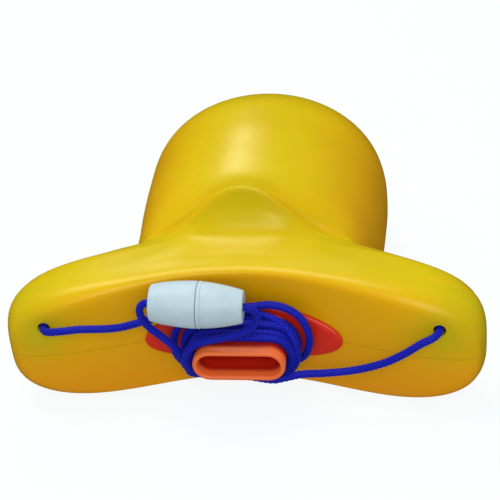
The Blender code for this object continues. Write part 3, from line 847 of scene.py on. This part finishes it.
polish.inputs["To Max"].default_value = 0.55
for node in (cloud, tones):
    node.parent = tone_frame
for node in (sanding, relief, polish):
    node.parent = grain_frame
tree.links.new(coordinates.outputs["Object"], cloud.inputs["Vector"])
tree.links.new(coordinates.outputs["Object"], sanding.inputs["Vector"])
tree.links.new(cloud.outputs["Fac"], tones.inputs["Fac"])
tree.links.new(sanding.outputs["Fac"], relief.inputs["Height"])
tree.links.new(sanding.outputs["Fac"], polish.inputs["Value"])
tree.links.new(tones.outputs["Color"], shader.inputs["Base Color"])
tree.links.new(polish.outputs["Result"], shader.inputs["Roughness"])
tree.links.new(relief.outputs["Normal"], shader.inputs["Normal"])
tree.links.new(shader.outputs["BSDF"], output.inputs["Surface"])

toggle_socket = turned("toggle_socket_half", SOCKET_PROFILE, toggle_matrix(-1))
toggle_plug = turned("toggle_plug_half", PLUG_PROFILE, toggle_matrix(1))
for half, node, body in ((toggle_socket, "toggle_socket", "root"),
                         (toggle_plug, "toggle_plug", "plug_half")):
    half.data.materials.append(toggle_look)
    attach(half, body)
    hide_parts(node)


# ================================================================ neck cord
# Two ends of one braided lanyard, each knotted inside a wing. They leave the holes, wind round the
# mouthpiece in piled turns, and end in the toggle: one in the socket half, one in the plug half.
CORD_D = 2.1
BRAID_AROUND = 7.0
BRAID_PITCH = 1.35
BRAID_RELIEF = 0.13
BRAID_STEP = 0.26
BRAID_SIDES = 28
PATH_STEP = 0.9
TURN_POINTS = 16

# Each knot's size is a scale for its path, and its cord is drawn thinner where it is pulled tight.
WING_KNOT_AT = (49.6, 7.2, 25.4)
WING_KNOT_SIZE = 0.72
WING_KNOT_CORD = 1.9
SOCKET_KNOT_DEPTH = 9.0
PLUG_KNOT_DEPTH = 7.4
TOGGLE_KNOT_SIZE = 0.45
TOGGLE_KNOT_CORD = 1.3

# Free stretches, in metres in the row frame, in the order they are followed from each hole.
LEFT_SPAN = (
    (-0.0496, -0.0409, 0.0254), (-0.0496, -0.0438, 0.0256), (-0.0496, -0.0468, 0.0256),
    (-0.0482, -0.0489, 0.0262), (-0.0445, -0.0498, 0.0271), (-0.0395, -0.0493, 0.0274),
    (-0.0345, -0.0486, 0.0270), (-0.0300, -0.0472, 0.0264), (-0.0255, -0.0448, 0.0261),
    (-0.0200, -0.0434, 0.0270), (-0.0120, -0.0424, 0.0282), (-0.0040, -0.0414, 0.0284),
    (0.0030, -0.0409, 0.0284),
)
LOOSE_TURN = (
    (0.0064, -0.0406, 0.0287), (0.0096, -0.0409, 0.0286), (0.0128, -0.0416, 0.0277),
    (0.0154, -0.0424, 0.0257), (0.0168, -0.0430, 0.0228), (0.0171, -0.0431, 0.0198),
    (0.0166, -0.0430, 0.0166), (0.0152, -0.0422, 0.0136), (0.0124, -0.0410, 0.0113),
    (0.0085, -0.0402, 0.0110),
)
SOCKET_LOOP = (
    (-0.0122, -0.0454, 0.0105), (-0.0141, -0.0464, 0.0131), (-0.0148, -0.0472, 0.0160),
    (-0.0153, -0.0474, 0.0184), (-0.0171, -0.0474, 0.0213), (-0.0198, -0.0474, 0.0242),
    (-0.0222, -0.0474, 0.0267), (-0.0236, -0.0474, 0.0291), (-0.0240, -0.0477, 0.0314),
    (-0.0237, -0.0482, 0.0334), (-0.0226, -0.0487, 0.0350), (-0.0210, -0.0489, 0.0356),
    (-0.0190, -0.0489, 0.0355),
)
RIGHT_SPAN = (
    (0.0496, -0.0409, 0.0254), (0.0496, -0.0438, 0.0256), (0.0496, -0.0468, 0.0256),
    (0.0482, -0.0489, 0.0252), (0.0450, -0.0498, 0.0239), (0.0414, -0.0499, 0.0212),
    (0.0368, -0.0494, 0.0180), (0.0318, -0.0488, 0.0156), (0.0266, -0.0486, 0.0142),
    (0.0206, -0.0490, 0.0138), (0.0154, -0.0496, 0.0139), (0.0112, -0.0498, 0.0129),
    (0.0076, -0.0498, 0.0122),
)
PLUG_STRAND = (
    (-0.0118, -0.0474, 0.0120), (-0.0131, -0.0489, 0.0148), (-0.0136, -0.0497, 0.0178),
    (-0.0129, -0.0498, 0.0208), (-0.0104, -0.0498, 0.0234), (-0.0066, -0.0498, 0.0247),
    (-0.0024, -0.0497, 0.0256), (0.0010, -0.0493, 0.0266), (0.0036, -0.0489, 0.0279),
    (0.0051, -0.0488, 0.0300), (0.0052, -0.0488, 0.0322), (0.0042, -0.0489, 0.0338),
    (0.0026, -0.0489, 0.0343), (0.0000, -0.0489, 0.0345),
)

# Turns on the mouthpiece: (y, distance from the tube) in millimetres at each quarter, in the order
# underneath, left, top, right. The first cord works forward and outward, the second one backward.
LEFT_TURNS = (
    (6.35, 1.3), (5.1, 1.15), (5.5, 1.15), (5.1, 1.15), (4.25, 1.15), (3.2, 1.15), (3.35, 1.15),
    (3.1, 1.15), (3.15, 3.0), (4.3, 3.0), (4.6, 3.0), (4.1, 2.4), (5.2, 3.1), (2.3, 5.8), (5.4, 4.9),
    (0.05, 2.4), (2.0, 4.8),
)
RIGHT_TURNS = (
    (-2.0, 1.15), (-1.0, 1.15), (-0.95, 1.15), (-0.95, 1.15), (0.05, 1.15), (1.1, 1.15), (1.2, 1.15),
    (1.15, 1.15), (2.15, 1.15), (2.2, 3.0), (2.4, 3.0), (2.05, 2.4), (0.9, 3.0),
)


def round_tube(turn, y, off):
    """A point round the mouthpiece. Turn 0 is underneath, 0.25 left, 0.5 on top and 0.75 right."""
    radius = TUBE_HALF[1] + off
    straight = TUBE_HALF[0] - TUBE_HALF[1]
    part = (turn % 1.0) * 12.0
    if part < 1 or part >= 11:
        along = part if part < 1 else part - 12
        x, z = -straight * along, -radius
    elif part < 5:
        angle = math.radians(270 - 45 * (part - 1))
        x, z = -straight + radius * math.cos(angle), radius * math.sin(angle)
    elif part < 7:
        x, z = straight * (part - 6), radius
    else:
        angle = math.radians(90 - 45 * (part - 7))
        x, z = straight + radius * math.cos(angle), radius * math.sin(angle)
    return x, y, TUBE_Z + z


def wound(turns):
    """The coil through its quarter stations, with slight unevenness along it."""
    stations = catmull_rom(np.array(turns), TURN_POINTS // 4)
    points = []
    for index, (y, off) in enumerate(stations):
        wobble = 0.10 * math.sin(2.3 * index + 0.7 * len(turns))
        points.append(round_tube(index / TURN_POINTS, y + wobble * 0.5, off + abs(wobble) * 0.3))
    return np.array(points)


def to_face(points):
    return np.array(points) / MM + (0.0, FACE_TO_ORIGIN, 0.0)


def smooth_path(*stretches):
    """One even path, in millimetres, through all the stretches of a cord."""
    line = catmull_rom(np.concatenate(stretches), 8)
    length = np.linalg.norm(np.diff(line, axis=0), axis=1).sum()
    return spaced(line, np.linspace(0, 1, int(length / PATH_STEP) + 1))


def trefoil(centre, size):
    """The path of a tightened overhand knot."""
    t = np.linspace(0, 2 * np.pi, 49)[:-1]
    x = np.sin(t) + 2 * np.sin(2 * t)
    y = np.cos(t) - 2 * np.cos(2 * t)
    knot = np.stack([x, y, -np.sin(3 * t) * 1.2], axis=1)
    return np.array(centre) + knot[:44] * size


left_path = smooth_path(to_face(LEFT_SPAN), to_face(LOOSE_TURN), wound(LEFT_TURNS), to_face(SOCKET_LOOP))
right_path = smooth_path(to_face(RIGHT_SPAN), wound(RIGHT_TURNS), to_face(PLUG_STRAND))

# The braid tree sweeps a round section along a path and raises staggered stitches on it.
braid = bpy.data.node_groups.new("braided_cord", "GeometryNodeTree")
braid.is_modifier = True
sockets = {}
for name, kind, default in (
        ("Geometry", "NodeSocketGeometry", None), ("Radius", "NodeSocketFloat", CORD_D / 2 * MM),
        ("Stitches around", "NodeSocketFloat", BRAID_AROUND),
        ("Stitch pitch", "NodeSocketFloat", BRAID_PITCH * MM),
        ("Relief", "NodeSocketFloat", BRAID_RELIEF * MM), ("Step", "NodeSocketFloat", BRAID_STEP * MM),
        ("Sides", "NodeSocketInt", BRAID_SIDES), ("Material", "NodeSocketMaterial", None)):
    made = braid.interface.new_socket(name=name, in_out="INPUT", socket_type=kind)
    sockets[name] = made.identifier
    if default is not None:
        made.default_value = default
braid.interface.new_socket(name="Geometry", in_out="OUTPUT", socket_type="NodeSocketGeometry")
given = braid.nodes.new("NodeGroupInput")
given.label = "sizes"
given.location = (-1500, 0)
result = braid.nodes.new("NodeGroupOutput")
result.label = "cord mesh"
result.location = (1500, 0)
sweep_frame = braid.nodes.new("NodeFrame")
sweep_frame.label = "sweep a round section"
stitch_shape = braid.nodes.new("NodeFrame")
stitch_shape.label = "stitch heights"
finish_frame = braid.nodes.new("NodeFrame")
finish_frame.label = "raise and finish"
to_curve = braid.nodes.new("GeometryNodeMeshToCurve")
to_curve.label = "path as a curve"
to_curve.location = (-1300, 200)
resample = braid.nodes.new("GeometryNodeResampleCurve")
resample.label = "even rings"
resample.location = (-1100, 200)
resample.mode = "LENGTH"
along = braid.nodes.new("GeometryNodeSplineParameter")
along.label = "length along"
along.location = (-1100, -100)
keep_length = braid.nodes.new("GeometryNodeCaptureAttribute")
keep_length.label = "keep the length"
keep_length.location = (-850, 200)
keep_length.capture_items.new("FLOAT", "Length")
section = braid.nodes.new("GeometryNodeCurvePrimitiveCircle")
section.label = "round section"
section.location = (-1100, -300)
around = braid.nodes.new("GeometryNodeSplineParameter")
around.label = "share round the section"
around.location = (-1100, -500)
keep_share = braid.nodes.new("GeometryNodeCaptureAttribute")
keep_share.label = "keep the share"
keep_share.location = (-850, -300)
keep_share.capture_items.new("FLOAT", "Share")
sweep = braid.nodes.new("GeometryNodeCurveToMesh")
sweep.label = "sweep"
sweep.location = (-550, 200)
sweep.inputs["Fill Caps"].default_value = True
turn_angle = braid.nodes.new("ShaderNodeMath")
turn_angle.label = "angle times stitches"
turn_angle.operation = "MULTIPLY"
turn_angle.location = (-550, -200)
full_circle = braid.nodes.new("ShaderNodeMath")
full_circle.label = "full circle"
full_circle.operation = "MULTIPLY"
full_circle.inputs[1].default_value = 2 * math.pi
full_circle.location = (-380, -200)
per_pitch = braid.nodes.new("ShaderNodeMath")
per_pitch.label = "pitches along"
per_pitch.operation = "DIVIDE"
per_pitch.location = (-550, -400)
pitch_angle = braid.nodes.new("ShaderNodeMath")
pitch_angle.label = "pitch angle"
pitch_angle.operation = "MULTIPLY"
pitch_angle.inputs[1].default_value = 2 * math.pi
pitch_angle.location = (-380, -400)
wave_round = braid.nodes.new("ShaderNodeMath")
wave_round.label = "wave round"
wave_round.operation = "COSINE"
wave_round.location = (-200, -200)
wave_along = braid.nodes.new("ShaderNodeMath")
wave_along.label = "wave along"
wave_along.operation = "COSINE"
wave_along.location = (-200, -400)
stitch = braid.nodes.new("ShaderNodeMath")
stitch.label = "staggered stitches"
stitch.operation = "MULTIPLY"
stitch.location = (0, -300)
height = braid.nodes.new("ShaderNodeMath")
height.label = "height"
height.operation = "MULTIPLY"
height.location = (200, -300)
normal = braid.nodes.new("GeometryNodeInputNormal")
normal.label = "outward"
normal.location = (200, -500)
offset = braid.nodes.new("ShaderNodeVectorMath")
offset.label = "offset"
offset.operation = "SCALE"
offset.location = (400, -300)
raise_stitches = braid.nodes.new("GeometryNodeSetPosition")
raise_stitches.label = "raise stitches"
raise_stitches.location = (600, 200)
store = braid.nodes.new("GeometryNodeStoreNamedAttribute")
store.label = "stitch height for the material"
store.location = (-200, 200)
store.data_type = "FLOAT"
store.domain = "POINT"
store.inputs["Name"].default_value = "stitch"
smooth = braid.nodes.new("GeometryNodeSetShadeSmooth")
smooth.label = "smooth"
smooth.location = (800, 200)
realize = braid.nodes.new("GeometryNodeRealizeInstances")
realize.label = "realize"
realize.location = (1000, 200)
look_node = braid.nodes.new("GeometryNodeSetMaterial")
look_node.label = "cord material"
look_node.location = (1200, 200)
for node in (to_curve, resample, along, keep_length, section, around, keep_share, sweep):
    node.parent = sweep_frame
for node in (turn_angle, full_circle, per_pitch, pitch_angle, wave_round, wave_along,
             stitch, height, normal, offset, store):
    node.parent = stitch_shape
for node in (raise_stitches, smooth, realize, look_node):
    node.parent = finish_frame
braid.links.new(given.outputs["Geometry"], to_curve.inputs["Mesh"])
braid.links.new(to_curve.outputs["Curve"], resample.inputs["Curve"])
braid.links.new(given.outputs["Step"], resample.inputs["Length"])
braid.links.new(resample.outputs["Curve"], keep_length.inputs["Geometry"])
braid.links.new(along.outputs["Length"], keep_length.inputs["Length"])
braid.links.new(given.outputs["Radius"], section.inputs["Radius"])
braid.links.new(given.outputs["Sides"], section.inputs["Resolution"])
braid.links.new(section.outputs["Curve"], keep_share.inputs["Geometry"])
braid.links.new(around.outputs["Factor"], keep_share.inputs["Share"])
braid.links.new(keep_length.outputs["Geometry"], sweep.inputs["Curve"])
braid.links.new(keep_share.outputs["Geometry"], sweep.inputs["Profile Curve"])
braid.links.new(keep_share.outputs["Share"], turn_angle.inputs[0])
braid.links.new(given.outputs["Stitches around"], turn_angle.inputs[1])
braid.links.new(turn_angle.outputs[0], full_circle.inputs[0])
braid.links.new(keep_length.outputs["Length"], per_pitch.inputs[0])
braid.links.new(given.outputs["Stitch pitch"], per_pitch.inputs[1])
braid.links.new(per_pitch.outputs[0], pitch_angle.inputs[0])
braid.links.new(full_circle.outputs[0], wave_round.inputs[0])
braid.links.new(pitch_angle.outputs[0], wave_along.inputs[0])
braid.links.new(wave_round.outputs[0], stitch.inputs[0])
braid.links.new(wave_along.outputs[0], stitch.inputs[1])
braid.links.new(stitch.outputs[0], height.inputs[0])
braid.links.new(given.outputs["Relief"], height.inputs[1])
braid.links.new(normal.outputs[0], offset.inputs[0])
braid.links.new(height.outputs[0], offset.inputs["Scale"])
braid.links.new(sweep.outputs["Mesh"], store.inputs["Geometry"])
braid.links.new(stitch.outputs[0], store.inputs["Value"])
braid.links.new(store.outputs["Geometry"], raise_stitches.inputs["Geometry"])
braid.links.new(offset.outputs[0], raise_stitches.inputs["Offset"])
braid.links.new(raise_stitches.outputs["Geometry"], smooth.inputs["Geometry"])
braid.links.new(smooth.outputs["Geometry"], realize.inputs["Geometry"])
braid.links.new(realize.outputs["Geometry"], look_node.inputs["Geometry"])
braid.links.new(given.outputs["Material"], look_node.inputs["Material"])
braid.links.new(look_node.outputs["Geometry"], result.inputs["Geometry"])

cord_look = bpy.data.materials.new("cord_blue_braid")
cord_look.use_nodes = True
tree = cord_look.node_tree
tree.nodes.clear()
stitch_frame = tree.nodes.new("NodeFrame")
stitch_frame.label = "stitch colours and painted gap shade"
fibre_frame = tree.nodes.new("NodeFrame")
fibre_frame.label = "fibre relief"
output = tree.nodes.new("ShaderNodeOutputMaterial")
output.label = "output"
output.location = (800, 0)
shader = tree.nodes.new("ShaderNodeBsdfPrincipled")
shader.label = "nylon yarn"
shader.location = (500, 0)
shader.inputs["Roughness"].default_value = 0.5
shader.inputs["Specular IOR Level"].default_value = 0.12
shader.inputs["Sheen Weight"].default_value = 0.05
shader.inputs["Sheen Roughness"].default_value = 0.4
coordinates = tree.nodes.new("ShaderNodeTexCoord")
coordinates.label = "object place"
coordinates.location = (-900, -200)
attribute = tree.nodes.new("ShaderNodeAttribute")
attribute.label = "stitch height"
attribute.attribute_name = "stitch"
attribute.location = (-700, 200)
# Painted shade: the gaps between the stitches are painted near black and the crowns the yarn's blue.
painted_gap_shade = tree.nodes.new("ShaderNodeValToRGB")
painted_gap_shade.label = "from gap to crown"
painted_gap_shade.location = (-450, 200)
painted_gap_shade.color_ramp.elements[0].position = 0.0
painted_gap_shade.color_ramp.elements[0].color = (0.0, 0.0, 0.05, 1.0)
painted_gap_shade.color_ramp.elements[1].position = 1.0
painted_gap_shade.color_ramp.elements[1].color = (0.010, 0.020, 0.68, 1.0)
lift = tree.nodes.new("ShaderNodeMapRange")
lift.label = "height to shade"
lift.location = (-600, 0)
lift.inputs["From Min"].default_value = -1.0
lift.inputs["From Max"].default_value = 1.0
fibres = tree.nodes.new("ShaderNodeTexNoise")
fibres.label = "filaments"
fibres.location = (-600, -300)
fibres.inputs["Scale"].default_value = 4200.0
fibres.inputs["Detail"].default_value = 2.0
fibre_bump = tree.nodes.new("ShaderNodeBump")
fibre_bump.label = "filament relief"
fibre_bump.location = (-200, -300)
fibre_bump.inputs["Strength"].default_value = 0.35
fibre_bump.inputs["Distance"].default_value = 0.00005
for node in (attribute, painted_gap_shade, lift):
    node.parent = stitch_frame
for node in (fibres, fibre_bump):
    node.parent = fibre_frame
tree.links.new(attribute.outputs["Fac"], lift.inputs["Value"])
tree.links.new(lift.outputs["Result"], painted_gap_shade.inputs["Fac"])
tree.links.new(painted_gap_shade.outputs["Color"], shader.inputs["Base Color"])
tree.links.new(coordinates.outputs["Object"], fibres.inputs["Vector"])
tree.links.new(fibres.outputs["Fac"], fibre_bump.inputs["Height"])
tree.links.new(fibre_bump.outputs["Normal"], shader.inputs["Normal"])
tree.links.new(shader.outputs["BSDF"], output.inputs["Surface"])


def braided(name, path, diameter):
    """A braided cord along a path in millimetres, as a plain mesh."""
    line = bpy.data.meshes.new(name + "_path")
    points = (np.asarray(path) - (0.0, FACE_TO_ORIGIN, 0.0)) * MM
    line.from_pydata(points.tolist(), [(i, i + 1) for i in range(len(points) - 1)], [])
    made = bpy.data.objects.new(name, line)
    bpy.context.scene.collection.objects.link(made)
    modifier = made.modifiers.new("braid", "NODES")
    modifier.node_group = braid
    for title, value in (("Radius", (diameter / 2 - BRAID_RELIEF) * MM), ("Stitches around", BRAID_AROUND),
                         ("Stitch pitch", BRAID_PITCH * MM), ("Relief", BRAID_RELIEF * MM),
                         ("Step", BRAID_STEP * MM), ("Sides", BRAID_SIDES), ("Material", cord_look)):
        modifier[sockets[title]] = value
    bake_modifiers(made)
    return face_outward(made)


left_cord = braided("cord_left", left_path, CORD_D)
right_cord = braided("cord_right", right_path, CORD_D)
left_knot_at = (-WING_KNOT_AT[0], *WING_KNOT_AT[1:])
socket_knot_at = toggle_matrix(-1) @ Vector((0.0, 0.0, SOCKET_KNOT_DEPTH))
plug_knot_at = toggle_matrix(1) @ Vector((0.0, 0.0, PLUG_KNOT_DEPTH))
left_knot = braided("knot_left_wing", trefoil(left_knot_at, WING_KNOT_SIZE), WING_KNOT_CORD)
right_knot = braided("knot_right_wing", trefoil(WING_KNOT_AT, WING_KNOT_SIZE), WING_KNOT_CORD)
socket_knot = braided("knot_in_socket", trefoil(socket_knot_at, TOGGLE_KNOT_SIZE), TOGGLE_KNOT_CORD)
plug_knot = braided("knot_in_plug", trefoil(plug_knot_at, TOGGLE_KNOT_SIZE), TOGGLE_KNOT_CORD)

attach(left_cord, "root")
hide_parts("cord_left_span", "cord_loose_turn", "cord_socket_loop", "cord_winding")
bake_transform(right_cord)
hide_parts("cord_right_span", "cord_plug_strand", "cord_plug_tail")
for knot, node, body in ((left_knot, "cord_knot_left", "root"), (right_knot, "cord_knot_right", "root"),
                         (socket_knot, "toggle_socket_knot", "root"),
                         (plug_knot, "toggle_plug_knot", "plug_half")):
    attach(knot, body)
    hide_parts(node)


# ================================================================ floor, light and camera
# A plain white sweep under soft studio light. The camera stands where the wearer's eyes would be, a little
# to the right of the mouthpiece, and looks down onto the bill.
FLOOR_REACH = 3.0
corners = [(x * FLOOR_REACH, y * FLOOR_REACH, 0.0) for x, y in ((-1, -1), (1, -1), (1, 1), (-1, 1))]
floor_data = bpy.data.meshes.new("floor")
floor_data.from_pydata(corners, [], [(0, 1, 2, 3)])
floor = bpy.data.objects.new("floor", floor_data)
bpy.context.scene.collection.objects.link(floor)
floor_look = bpy.data.materials.new("floor_white")
floor_look.use_nodes = True
tree = floor_look.node_tree
tree.nodes.clear()
sweep_frame = tree.nodes.new("NodeFrame")
sweep_frame.label = "lit white sweep"
output = tree.nodes.new("ShaderNodeOutputMaterial")
output.label = "output"
output.location = (300, 0)
shader = tree.nodes.new("ShaderNodeBsdfPrincipled")
shader.label = "matt white that glows a little"
shader.location = (0, 0)
shader.parent = sweep_frame
shader.inputs["Base Color"].default_value = (0.09, 0.09, 0.09, 1.0)
shader.inputs["Roughness"].default_value = 0.9
shader.inputs["Emission Color"].default_value = (0.96, 1.0, 1.0, 1.0)
shader.inputs["Emission Strength"].default_value = 0.90
tree.links.new(shader.outputs["BSDF"], output.inputs["Surface"])
floor.data.materials.append(floor_look)
floor.visible_glossy = False
floor.visible_diffuse = False

world = bpy.data.worlds.new("studio")
world.use_nodes = True
background = world.node_tree.nodes["Background"]
background.inputs["Color"].default_value = (0.95, 0.98, 1.0, 1.0)
background.inputs["Strength"].default_value = 0.60
world.cycles_visibility.glossy = False
bpy.context.scene.world = world


def soft_light(name, place, target, size, power, colour):
    data = bpy.data.lights.new(name, "AREA")
    data.shape = "RECTANGLE"
    data.size, data.size_y = size
    data.energy = power
    data.color = colour
    made = bpy.data.objects.new(name, data)
    made.location = place
    made.rotation_euler = (Vector(target) - Vector(place)).to_track_quat("-Z", "Y").to_euler()
    bpy.context.scene.collection.objects.link(made)
    return made


soft_light("key_light", (-0.16, 0.05, 0.62), (0.0, 0.0, 0.02), (0.16, 0.34), 1.6, (1.0, 0.99, 0.96))
soft_light("back_glow", (-0.13, 0.40, 0.46), (0.0, 0.02, 0.03), (0.10, 0.16), 0.62, (1.0, 1.0, 0.98))
soft_light("front_fill", (0.12, -0.75, 0.60), (0.0, -0.02, 0.02), (0.5, 0.5), 3.4, (0.97, 0.99, 1.0))

# The camera swings round the target, and its aim is then shifted a little to the right and up.
CAMERA_DISTANCE = 0.400
TARGET = Vector((0.0, -0.0312, 0.0200))
AZIMUTH = math.radians(10.0)
ELEVATION = math.radians(37.05)
ROLL = math.radians(5.8)
AIM_RIGHT = 0.0058
AIM_UP = 0.03815
level_back = Vector((math.sin(AZIMUTH), -math.cos(AZIMUTH), 0.0))
back = level_back * math.cos(ELEVATION) + Vector((0.0, 0.0, math.sin(ELEVATION)))
right = Vector((math.cos(AZIMUTH), math.sin(AZIMUTH), 0.0))
up = back.cross(right)
camera_data = bpy.data.cameras.new("camera")
camera_data.lens = 111.5
camera_data.sensor_width = 36.0
camera_data.clip_start = 0.01
camera_data.clip_end = 20.0
camera = bpy.data.objects.new("camera", camera_data)
camera.location = TARGET + back * CAMERA_DISTANCE
sight = (-back + right * AIM_RIGHT + up * AIM_UP).normalized()
side = right * math.cos(ROLL) - up * math.sin(ROLL)
side = (side - sight * side.dot(sight)).normalized()
head = (-sight).cross(side)
turn = Matrix((side, head, -sight)).transposed()
camera.rotation_mode = "QUATERNION"
camera.rotation_quaternion = turn.to_quaternion()
bpy.context.scene.collection.objects.link(camera)
bpy.context.scene.camera = camera
bpy.context.scene.view_settings.view_transform = "Standard"
